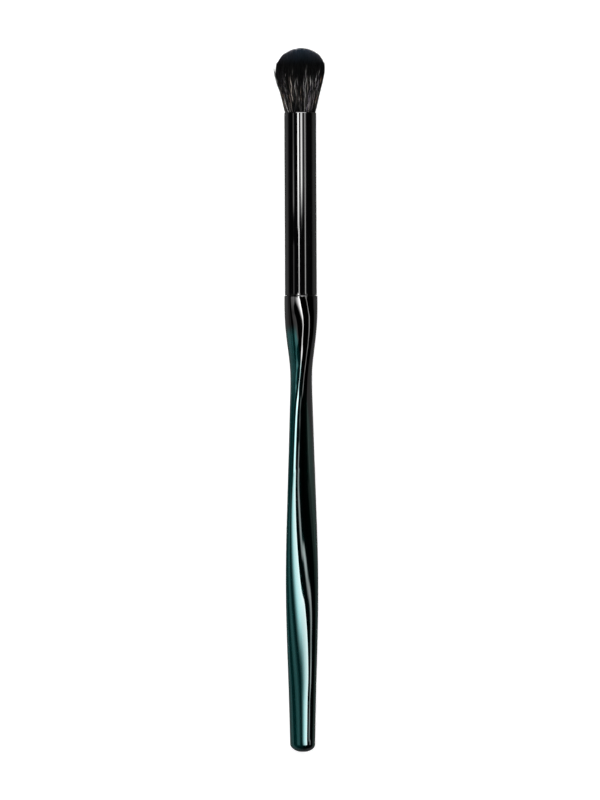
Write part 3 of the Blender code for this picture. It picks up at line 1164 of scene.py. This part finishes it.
    def dark_hairs(self, layer: HairLayer, rng: np.random.Generator) -> Strands:
        """Lay one layer of the dark hair in soft locks.

        Args:
            layer: the layer.
            rng: the layer's random numbers.

        Returns:
            Its hairs.
        """
        n = layer.count
        low, high = layer.inner_share**2, layer.outer_share**2
        share = np.sqrt(low + (high - low) * rng.random((n, 1)))
        direction = rng.random((n, 1)) * FULL_TURN
        short = layer.ragged * rng.random((n, 1)) ** 2
        tip = self.tip_heights(np.minimum(share, self.tip_share)) - short
        t, height = self.climb(tip, layer.segments)
        locks = rng.random((1, layer.lock_count)) * FULL_TURN
        gaps = (locks - direction + math.pi) % FULL_TURN - math.pi
        nearest = np.argmin(np.abs(gaps), axis=1)
        gap = np.take_along_axis(gaps, nearest[:, None], axis=1)
        angle = direction + gap * self.lock_pull * np.sin(math.pi * t) ** 2
        phase = rng.random(layer.lock_count)[nearest][:, None]
        phase = phase + self.phase_spread * rng.normal(size=(n, 1))
        size = layer.wave * rng.normal(size=layer.lock_count)[nearest][:, None]
        swing = np.sin(FULL_TURN * (height / self.wave_length + phase)) * size * t
        own_length = self.own_wave_share * self.wave_length
        own = np.sin(FULL_TURN * (height / own_length + rng.random((n, 1))))
        side = swing + own * self.own_wave * layer.wave * rng.normal(size=(n, 1)) * t
        taper = self.taper(tip, height, self.tip_least) ** self.tip_power
        half = layer.thickness / 2 * taper * rng.uniform(*self.halves, (n, 1))
        # Painted sheen: lighter navy towards the dome's top.
        above = np.clip((height - self.painted_sheen_from) / (self.reach - self.painted_sheen_from), 0, 1)
        painted_sheen = self.painted_sheen_light * above**self.painted_sheen_power
        # Painted rim light: lighter, more violet hair at the tuft's left and right sides.
        edge = np.cos(angle) ** 2
        painted_streak, tint = self.painted_streaks(layer, nearest, height, rng)
        light = painted_sheen * (1 + self.painted_rim_light * edge) * rng.uniform(*self.painted_sheen_levels, (n, 1))
        light = light + painted_streak
        hue = np.where(painted_streak > self.tint_from * painted_sheen, tint, self.painted_rim_hue * edge)
        return Strands(self.fan(share, angle, height, side), half, light, hue)

    def painted_streaks(self, layer: HairLayer, nearest: np.ndarray, height: np.ndarray,
                rng: np.random.Generator) -> tuple[np.ndarray, np.ndarray]:
        """Lighten a short stretch of each lock as a painted glint, a few of them much more than
        the rest.

        Args:
            layer: the layer.
            nearest: the lock that each hair belongs to.
            height: the height of each point.
            rng: the layer's random numbers.

        Returns:
            The lightness of each point, and its hue.
        """
        rule, count, n = self.painted_streak_rule, layer.lock_count, len(nearest)
        middle = rule.lowest + rule.span * rng.random(count) ** rule.crowd
        reach = rng.uniform(*rule.reach, count)[nearest][:, None]
        middle = middle[nearest][:, None] + rule.scatter * rng.normal(size=(n, 1))
        light = (layer.painted_streak_light * rng.random(count) ** rule.rare)[nearest][:, None]
        shape = np.clip(rule.fade - np.abs(height - middle) / reach, 0, 1)
        tint = rng.uniform(*rule.hues, count)[nearest][:, None]
        return light * shape * rng.uniform(*rule.levels, (n, 1)), tint

    def back_locks(self, rng: np.random.Generator) -> list[PaintedGlintLock]:
        """Return painted glint locks for the sides and the back, scattered as the front ones are.

        Args:
            rng: the random numbers of the lighter hairs.

        Returns:
            The locks.
        """
        rule, hues = self.back_rule, list(HairHue)[1:]
        made = []
        for _ in range(rule.count):
            low = rule.reach * rng.random() ** rule.crowd
            high = low + rng.uniform(*rule.length)
            light = rule.light + rule.light_span * rng.random() ** 2
            hue = hues[rng.integers(len(hues))]
            made.append(PaintedGlintLock(rng.uniform(*rule.arc), low, high, light, hue))
        return made

    def painted_glint_hairs(self, rng: np.random.Generator) -> Strands:
        """Lay the glint hairs on the surface, each dark but for a painted glint where it shows.

        Args:
            rng: the random numbers of the lighter hairs.

        Returns:
            The hairs.
        """
        table = [
            (lock.direction, lock.low * MM, lock.high * MM, lock.light, lock.hue.value, lock.lean)
            for lock in (*self.locks, *self.back_locks(rng)) for _ in range(lock.count)
        ]
        rule, n = self.lock_rule, len(table)
        direction, low, high, light, hue, lean = np.array(table).T[..., None]
        high = high * (1 + rule.height_spread * rng.normal(size=(n, 1)))
        tip = np.minimum(high + rule.overrun, self.belly_height + rule.limit)
        _, height = self.climb(tip, rule.segments)
        aim = np.radians(direction - 90) + math.radians(rule.scatter) * rng.normal(size=(n, 1))
        angle = aim + np.radians(lean) * (height - low) / (high - low)
        phase = rule.phase * direction + rule.phase_spread * rng.normal(size=(n, 1))
        turns = height / (rule.wave_share * self.wave_length) + phase
        side = rule.wave * np.sin(FULL_TURN * turns) * np.clip(height / rule.root, 0, 1)
        share = rng.uniform(*rule.shares, (n, 1))
        # Painted glint: each hair is lightened only along the stretch where it shows.
        shown = np.clip((height - low) / rule.fade_in + 0.5, 0, 1)
        shown = shown * np.clip((high - height) / rule.fade_out + 0.5, 0, 1)
        light = light * shown * rng.uniform(*rule.levels, (n, 1))
        taper = self.taper(tip, height, self.light_tip_least)
        half = rule.half * taper * rng.uniform(*rule.halves, (n, 1))
        return Strands(self.fan(share, angle, height, side), half, light, hue)

    def stray_hairs(self, rng: np.random.Generator) -> Strands:
        """Lay the few hairs that stand clear of the tuft, most of them on its left.

        Args:
            rng: the random numbers of the lighter hairs.

        Returns:
            The hairs.
        """
        rule = self.stray_rule
        n = rule.count
        left = rng.random((n, 1)) < rule.left_part
        near = rule.left + rule.left_spread * rng.normal(size=(n, 1))
        aim = np.where(left, near, 360 * rng.random((n, 1)))
        sway = rule.sway * rng.normal(size=(n, 1))
        tip = rng.uniform(*rule.tips, (n, 1))
        t, height = self.climb(tip, rule.segments)
        angle = np.radians(aim - 90) + sway * t
        proud = np.where(left, rule.proud_left, rule.proud)
        proud = proud * rng.random((n, 1)) ** rule.proud_power
        clear = np.clip((t - rule.clear_from) / (1 - rule.clear_from), 0, 1)
        share = rule.share + proud * clear**rule.clear_power
        side = rule.side * rng.normal(size=(n, 1)) * t**2
        half = rule.half * self.taper(tip, height, self.light_tip_least)
        light, hue = rule.light * rng.random((n, 1)), rng.uniform(*rule.hues, (n, 1))
        return Strands(self.fan(share, angle, height, side), half, light, hue)

    def build(self, axis: BrushAxis) -> list[Piece]:
        """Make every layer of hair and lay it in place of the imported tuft.

        Args:
            axis: the brush's own frame.

        Returns:
            The finished pieces.
        """
        made = []
        for layer in self.layers:
            rng = np.random.default_rng(layer.seed)
            made.append(self.dark_hairs(layer, rng).sweep(layer.name, self.mouth, rng))
        rng = np.random.default_rng(self.light_seed)
        made.append(self.painted_glint_hairs(rng).sweep("tuft_painted_glints", self.mouth, rng))
        made.append(self.stray_hairs(rng).sweep("tuft_stray_hairs", self.mouth, rng))
        material = self.finish.make()
        for piece in made:
            axis.lay(piece)
            piece.data.materials.append(material)
            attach(piece, ROOT_BODY)
        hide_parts("bristle_tuft")
        return made


@dataclass
class InnerPieces:
    """The thread, plug and glue inside the ferrule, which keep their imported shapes."""

    finishes: tuple[tuple[str, PlainFinish], ...] = (
        ("binding_thread", PlainFinish("cotton", (0.70, 0.66, 0.58), 0.8, 0.15 * MM)),
        ("root_plug", PlainFinish("resin", (0.55, 0.42, 0.20), 0.25, 2.0 * MM)),
        ("tenon_glue", PlainFinish("set_glue", (0.75, 0.72, 0.60), 0.4, 0.8 * MM)),
    )

    def dress(self, nodes: dict[str, Piece]) -> None:
        """Give each hidden piece its finish.

        Args:
            nodes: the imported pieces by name.
        """
        for name, finish in self.finishes:
            mesh = nodes[name].data
            mesh.materials.clear()
            mesh.materials.append(finish.make())


@dataclass(frozen=True)
class StripLight:
    """A long soft box along the brush, placed by where a glossy surface shows it.

    Its edges are angles from the viewer's direction, in degrees, positive to the right, and its
    ends are places along the brush. Its brightness is given across it, from left to right, and
    along it, from the end of the handle to the tuft. Gloss may be kept from showing it.
    """

    name: str
    angle_from: float
    angle_to: float
    along_from: float
    along_to: float
    radiance: float
    across: Rows = EVEN
    along: Rows = EVEN
    mirrored: bool = True
    distance: float = 1.0

    def dress(self) -> bpy.types.Material:
        """Make the soft box's own glow.

        Returns:
            The material.
        """
        recipe = Recipe(self.name)
        u, v, _ = recipe.parts("UVMap")
        across, along = recipe.levels(u, self.across), recipe.levels(v, self.along)
        level = recipe.math("MULTIPLY", across, along)
        return recipe.finish(
            "Emission", {"Strength": recipe.math("MULTIPLY", level, self.radiance)}
        )

    def make(self, axis: BrushAxis) -> None:
        """Hang the soft box.

        Args:
            axis: the brush's own frame.
        """
        middle = math.radians((self.angle_from + self.angle_to) / 2)
        half = math.radians(self.angle_to - self.angle_from) / 2
        width = 2 * self.distance * math.tan(half)
        length = Vector((0, 0, self.along_to - self.along_from))
        towards = Vector((math.sin(middle), -math.cos(middle), 0))
        right = Vector((math.cos(middle), math.sin(middle), 0))
        centre = towards * self.distance
        centre.z = (self.along_from + self.along_to) / 2
        panel = Bench.add(bpy.ops.mesh.primitive_plane_add, self.name, size=1)
        shape = Matrix((right * width, length, -towards)).transposed()
        panel.matrix_world = Matrix.Translation(centre) @ shape.to_4x4()
        axis.lay(panel)
        panel.data.materials.append(self.dress())
        panel.visible_camera = False
        panel.visible_glossy = self.mirrored


@dataclass(frozen=True)
class GlowLine:
    """A line of light along a sleeve.

    Its rows give a height in millimetres, the angles of its left and right edges from the
    viewer's direction, in degrees, and its level. Its profile gives its brightness across it,
    from left to right.
    """

    rows: Rows
    profile: Rows = ((0, 0), (0.4, 1), (0.7, 1), (1, 0))


@dataclass(frozen=True)
class GlossSleeve:
    """A black sleeve round the brush, with the lines of light that its gloss shows.

    Nothing but glossy surfaces sees it.
    """

    name: str
    radius: float
    low: float
    high: float
    radiance: float
    lines: tuple[GlowLine, ...]
    sides: int = 128

    def draw(self, line: GlowLine, recipe: Recipe, turn: Socket, up: Socket) -> Socket:
        """Draw one of the sleeve's lines.

        Args:
            line: the line.
            recipe: the sleeve's material.
            turn: where a point lies round the sleeve, from 0 to 1, with the viewer at the middle.
            up: where it lies along the sleeve, from 0 to 1.

        Returns:
            The socket of the line's level there.
        """
        span = self.high - self.low
        stops = [
            ((height * MM - self.low) / span, (0.5 + left / 360, 0.5 + right / 360, level))
            for height, left, right, level in line.rows
        ]
        left, right, level = recipe.node("SeparateColor", {0: recipe.ramp(up, stops)}).outputs
        profile = recipe.levels(recipe.share(turn, left, right), line.profile)
        return recipe.math("MULTIPLY", profile, level)

    def hang(self, axis: BrushAxis) -> None:
        """Hang the sleeve round the brush.

        Args:
            axis: the brush's own frame.
        """
        sleeve = Bench.add(
            bpy.ops.mesh.primitive_cylinder_add,
            self.name,
            vertices=self.sides,
            radius=self.radius,
            depth=self.high - self.low,
            end_fill_type="NOTHING",
            location=(0, 0, (self.low + self.high) / 2),
        )
        axis.lay(sleeve)
        recipe = Recipe(self.name)
        right, near = axis.reading(recipe, 1, 0, 0), axis.reading(recipe, 0, -1, 0)
        turn = recipe.math("ARCTAN2", right, near)
        turn = recipe.math("MULTIPLY_ADD", turn, 1 / FULL_TURN, 0.5)
        up = recipe.share(axis.reading(recipe, 0, 0, 1), self.low, self.high)
        level = 0
        for line in self.lines:
            level = recipe.math("MAXIMUM", level, self.draw(line, recipe, turn, up))
        strength = recipe.math("MULTIPLY", level, self.radiance)
        sleeve.data.materials.append(recipe.finish("Emission", {"Strength": strength}))
        Bench.show_to_gloss_alone(sleeve)


@dataclass
class Studio:
    """The floor, the lights, the dark canopy over them and the camera.

    What gloss shows is set apart from what lights the brush: bands across the floor, which dip
    along the brush as a painted contact shadow, dimmed beside the grip, with a brighter patch,
    the strips that are mirrored, and the sleeves' lines.
    """

    view_distance: float = 1.28
    view_height: float = 88.25 * MM
    view_offset: float = -0.33 * MM
    view_roll: float = -0.22
    lens: float = 229.54
    sensor: float = 36.0
    view_reach: float = 10.0
    floor_size: float = 6.0
    floor_colour: Colour = (0.55, 0.55, 0.55)
    floor_roughness: float = 0.9
    floor_lift: float = 0.75
    # How bright gloss shows the floor across the brush; the dip along the brush is a painted
    # contact shadow.
    floor_glow_with_painted_shadow: Rows = (
        (0, 0.1), (0.12, 0.16), (0.19, 0.22), (0.35, 0.24), (0.41, 0.16), (0.5, 0.12),
        (0.56, 0.15), (0.6, 0.28), (0.66, 0.34), (0.8, 0.25), (0.88, 0.1), (1, 0.06),
    )
    mirrored_reach: float = 64.0 * MM
    grip_share: float = 0.6
    grip_side: Range = (16.0 * MM, 12.0 * MM)
    neck_from: float = 24.0 * MM
    patch_level: float = 0.36
    patch_near: float = -30.0 * MM
    patch_ends: tuple[float, float, float, float] = (-23.5 * MM, -18.0 * MM, -3.0 * MM, 6.0 * MM)
    canopy_radius: float = 2.2
    canopy_rings: int = 16
    ambient: float = 0.05
    neck_lines: tuple[GlowLine, ...] = (
        # The main highlight.
        GlowLine((
            (66, -37, -6, 0.52), (72, -37, -8, 0.55), (78, -37, -8, 0.58), (82, -36, -7, 0.6),
            (87, -32, -3, 0.7), (90, -30, -2, 0.8), (92, -27, -4, 0.78), (94, -22.5, -7, 0.68),
            (95.6, -20, -10, 0.58), (98.7, -19.5, -11, 0.54), (102.3, -14, -8, 0.56),
            (104.6, -10.5, -4.5, 0.62), (106.7, -9, -2.5, 0.7), (108, -12, -0.5, 0.8),
            (109, -14, -2.5, 0.95), (110.5, -19, -8, 1), (112, -24, -12, 1), (116.4, -24, -11, 1),
        ), ((0, 0), (0.45, 1), (0.8, 1), (1, 0))),
        # The glow that fans out beside it, under the ferrule.
        GlowLine((
            (105.4, -22, -5, 0), (106.3, -32, -4, 0.3), (107.3, -42, -2.5, 0.62),
            (108.4, -46, -3, 0.9), (109.8, -46, -6, 1), (110.8, -42, -8, 0.95),
            (111.8, -28, -11, 0),
        ), ((0, 0), (0.3, 0.14), (0.6, 0.5), (0.96, 1), (1, 0))),
        # The thin line to its right, up to the pinch.
        GlowLine((
            (66, 13, 23, 0.15), (70, 15.5, 25.5, 0.17), (72.5, 16, 27, 0.12), (74, 18, 30, 0.03),
            (76.6, 20, 31, 0.03), (79.5, 20, 30, 0.09), (82, 20, 30, 0.05), (85, 22, 32, 0.09),
            (87, 24, 33, 0.1), (88, 24, 33, 0),
        )),
        # The line along the right edge.
        GlowLine((
            (86, 38, 47, 0), (87.4, 38.5, 47.5, 0.12), (89, 39.5, 48.5, 0.18),
            (91.4, 39, 48, 0.12), (93.4, 37.5, 46.5, 0.17), (104.6, 38.5, 47, 0.23),
            (110, 39.5, 48, 0.23), (114, 42, 50, 0.22), (115.3, 38, 46, 0.22),
            (116.4, 31, 38, 0.22),
        )),
        # The faint glow on the left.
        GlowLine((
            (90, -78, -64, 0.005), (95, -74, -60, 0.014), (97, -69, -57, 0.018),
            (98.6, -72, -46, 0.03), (100.2, -74, -42, 0.04), (102, -74, -54, 0.024),
            (105, -75, -54, 0.05), (107.6, -76, -44, 0.075), (109.2, -76, -42, 0.09),
            (110.2, -74, -42, 0.11), (111.2, -74, -46, 0),
        ), ((0, 0), (0.2, 0.7), (0.5, 0.7), (0.8, 1), (1, 0))),
        # What shows at the left rim.
        GlowLine((
            (66, -114, -88, 0.002), (93, -114, -88, 0.004), (96, -114, -84, 0.01),
            (100, -114, -84, 0.011), (116.4, -114, -84, 0.013),
        )),
        # What shows at the right rim.
        GlowLine(((66, 80, 116, 0.01), (90, 86, 116, 0.008), (96, 96, 116, 0))),
    )
    grip_lines: tuple[GlowLine, ...] = (
        # The main highlight, brightest along its right edge.
        GlowLine((
            (-170, -51, -2, 1), (-62, -51, -2, 1), (-45, -53, -3, 1), (-20, -54, -5, 1),
            (0, -51, -5, 1), (10, -46, -3.5, 1), (20, -44, -1, 1), (30, -41, 2, 1),
            (40, -39, 3, 1), (60, -38, 2.5, 1), (120, -36, 2.5, 1),
        ), (
            (0, 0), (0.08, 0.02), (0.17, 0.07), (0.25, 0.16), (0.347, 0.28), (0.41, 0.4),
            (0.485, 0.51), (0.56, 0.6), (0.64, 0.68), (0.7, 0.74), (0.85, 0.86), (0.94, 1),
            (0.985, 1), (1, 0),
        )),
        # The softer line to its right.
        GlowLine((
            (-170, 26, 50, 0.15), (-60, 26, 50, 0.15), (-45, 16, 32, 0.2), (-30, 14, 29.5, 0.28),
            (-18, 13, 28, 0.3), (-8, 12, 26, 0.26), (0, 14, 28, 0.28), (12, 19, 34, 0.4),
            (35, 19.5, 36, 0.4), (50, 19.5, 36, 0.27), (60, 21, 37, 0.25), (70, 26, 41, 0.32),
            (85, 32, 46, 0.3), (120, 32, 46, 0.26),
        )),
        # What shows at the left rim.
        GlowLine((
            (-170, -94, -62, 0.02), (-50, -94, -62, 0.022), (0, -94, -58, 0.018),
            (30, -90, -54, 0.006), (120, -90, -54, 0.004),
        ), ((0, 0), (0.3, 0.6), (0.6, 1), (1, 0))),
        # What shows at the right rim.
        GlowLine(((-170, 76, 100, 0.01), (120, 76, 100, 0.012))),
    )
    shoulder_lines: tuple[GlowLine, ...] = (
        # The thin line round the shoulder's edge.
        GlowLine(((320, -34, 47, 1), (1600, -34, 47, 1)), ((0, 0), (0.06, 1), (0.94, 1), (1, 0))),
    )
    sleeves: tuple[GlossSleeve, ...] = (
        GlossSleeve("neck_sleeve", 0.08, 0.066, 0.1164, 24, neck_lines),
        GlossSleeve("grip_sleeve", 1, -0.17, 0.12, 13.2, grip_lines),
        GlossSleeve("shoulder_sleeve", 1, 0.32, 1.6, 9, shoulder_lines),
    )
    strips: tuple[StripLight, ...] = (
        StripLight(
            "key_strip", -21, -10, 0.165, 0.3, 12.4,
            along=((0, 0.6), (0.09, 0.8), (0.18, 1), (1, 1)),
        ),
        StripLight(
            "neck_strip", -15.5, -9, 0.13, 0.165, 12.4, along=((0, 0.4), (0.5, 0.6), (1, 1))
        ),
        StripLight("soft_box", -54, 5, -0.17, 0.045, 4.5, mirrored=False),
        StripLight(
            "tuft_box", 1.5, 45, 0.165, 0.34, 11,
            across=(
                (0, 0), (0.03, 0.9), (0.05, 1.1), (0.13, 1.1), (0.2, 0.62), (0.27, 0.36),
                (0.34, 0.12), (0.42, 0.02), (1, 0.02),
            ),
            along=((0, 0), (0.03, 0.05), (0.07, 0.4), (0.12, 1), (1, 1)),
        ),
        StripLight("rim_strip", 30.5, 37, 0.132, 0.3, 4),
        StripLight(
            "side_strip", -56, -48, 0.09, 0.3, 2.1,
            along=(
                (0, 0.25), (0.32, 0.25), (0.33, 0), (0.38, 0.02), (0.41, 0.9), (0.46, 0.8),
                (0.55, 0.4), (1, 0.4),
            ),
        ),
        StripLight("top_light", -28, 44, 0.55, 0.85, 8, mirrored=False),
    )

    def mirrored_floor(self, recipe: Recipe) -> Socket:
        """Return how bright gloss shows each place of the floor, darker along the brush as a
        painted contact shadow.

        Args:
            recipe: the floor's material.

        Returns:
            The socket of the level.
        """
        x, y, _ = recipe.parts()
        away = recipe.math("MULTIPLY_ADD", y, 0.5 / self.mirrored_reach, 0.5)
        close = recipe.math("MULTIPLY", recipe.share(y, *self.grip_side), self.grip_share)
        kept = recipe.math("MAXIMUM", recipe.share(x, 0, self.neck_from), close)
        kept = recipe.math("MAXIMUM", kept, recipe.math("LESS_THAN", y, 0))
        level = recipe.math("MULTIPLY", recipe.levels(away, self.floor_glow_with_painted_shadow), kept)
        first, full, last, end = self.patch_ends
        patch = self.patch_level
        bounds = ((x, first, full), (x, end, last), (y, self.patch_near, 2 * self.patch_near))
        for side, start, stop in bounds:
            patch = recipe.math("MULTIPLY", recipe.share(side, start, stop), patch)
        return recipe.math("ADD", level, patch)

    def lay_floor(self) -> None:
        """Lay the pale floor, which shows white and still keeps the brush's shadow."""
        floor = Bench.add(bpy.ops.mesh.primitive_plane_add, "studio_floor", size=self.floor_size)
        recipe = Recipe("studio_floor")
        path = recipe.node("LightPath").outputs
        paper = recipe.node("BsdfPrincipled", {
            "Base Color": (*self.floor_colour, 1),
            "Roughness": self.floor_roughness,
            "Emission Color": (1, 1, 1, 1),
            "Emission Strength": recipe.math("MULTIPLY", path["Is Camera Ray"], self.floor_lift),
        })
        glow = recipe.node("Emission", {"Strength": self.mirrored_floor(recipe)})
        seen_in = recipe.math("MAXIMUM", path["Is Glossy Ray"], path["Is Transmission Ray"])
        shaders = {0: seen_in, 1: paper.outputs[0], 2: glow.outputs[0]}
        floor.data.materials.append(recipe.finish("MixShader", shaders))

    def hang_canopy(self) -> None:
        """Hang the black canopy that darkens what glossy surfaces show overhead."""
        rings = self.canopy_rings
        size = {"segments": 2 * rings, "ring_count": rings, "radius": self.canopy_radius}
        canopy = Bench.add(bpy.ops.mesh.primitive_uv_sphere_add, "studio_canopy", **size)
        black = Recipe("studio_canopy").finish("BsdfDiffuse", {"Color": (0, 0, 0, 1)})
        canopy.data.materials.append(black)
        Bench.show_to_gloss_alone(canopy)

    def light_world(self) -> None:
        """Light the surroundings: white where they are seen or mirrored, dim where they light."""
        recipe = Recipe("studio_world", world=True)
        path = recipe.node("LightPath").outputs
        seen = recipe.math("MAXIMUM", path["Is Camera Ray"], path["Is Glossy Ray"])
        seen = recipe.math("MAXIMUM", seen, path["Is Transmission Ray"])
        level = recipe.math("MULTIPLY_ADD", seen, 1 - self.ambient, self.ambient)
        inputs = {"Color": (1, 1, 1, 1), "Strength": level}
        bpy.context.scene.world = recipe.finish("Background", inputs)

    def place_camera(self, axis: BrushAxis) -> None:
        """Set the camera square to the brush, at the photo's framing.

        Args:
            axis: the brush's own frame.
        """
        data = bpy.data.cameras.new("photo_camera")
        data.lens = self.lens
        data.sensor_fit = "VERTICAL"
        data.sensor_height = self.sensor
        data.clip_end = self.view_reach
        camera = bpy.data.objects.new("photo_camera", data)
        bpy.context.scene.collection.objects.link(camera)
        turn = Matrix(((1, 0, 0), (0, 0, 1), (0, -1, 0))).transposed().to_4x4()
        spot = Matrix.Translation((self.view_offset, -self.view_distance, self.view_height))
        roll = Matrix.Rotation(math.radians(self.view_roll), 4, "Z")
        camera.matrix_world = axis.placement @ spot @ turn @ roll
        bpy.context.scene.camera = camera

    def build(self, axis: BrushAxis) -> None:
        """Set up the whole studio round the brush.

        Args:
            axis: the brush's own frame.
        """
        self.lay_floor()
        self.hang_canopy()
        self.light_world()
        for strip in self.strips:
            strip.make(axis)
        for sleeve in self.sleeves:
            sleeve.hang(axis)
        self.place_camera(axis)
        bpy.context.scene.view_settings.view_transform = "Standard"


def triangles(piece: Piece) -> int:
    """Return how many triangles a piece has."""
    return sum(len(face.vertices) - 2 for face in piece.data.polygons)


def main() -> None:
    """Dress the brush, set up the studio and log each piece's triangles."""
    logging.basicConfig(level=logging.INFO, format="%(name)s: %(message)s")
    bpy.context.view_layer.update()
    axis = BrushAxis.from_record(frame["record"])
    ferrule = Ferrule()
    pieces = [Handle().build(axis), ferrule.build(axis), *Tuft(ferrule.mouth).build(axis)]
    InnerPieces().dress(frame["nodes"])
    Studio().build(axis)
    for piece in pieces:
        LOG.info("%s: %d triangles", piece.name, triangles(piece))


if __name__ == "__main__":
    main()
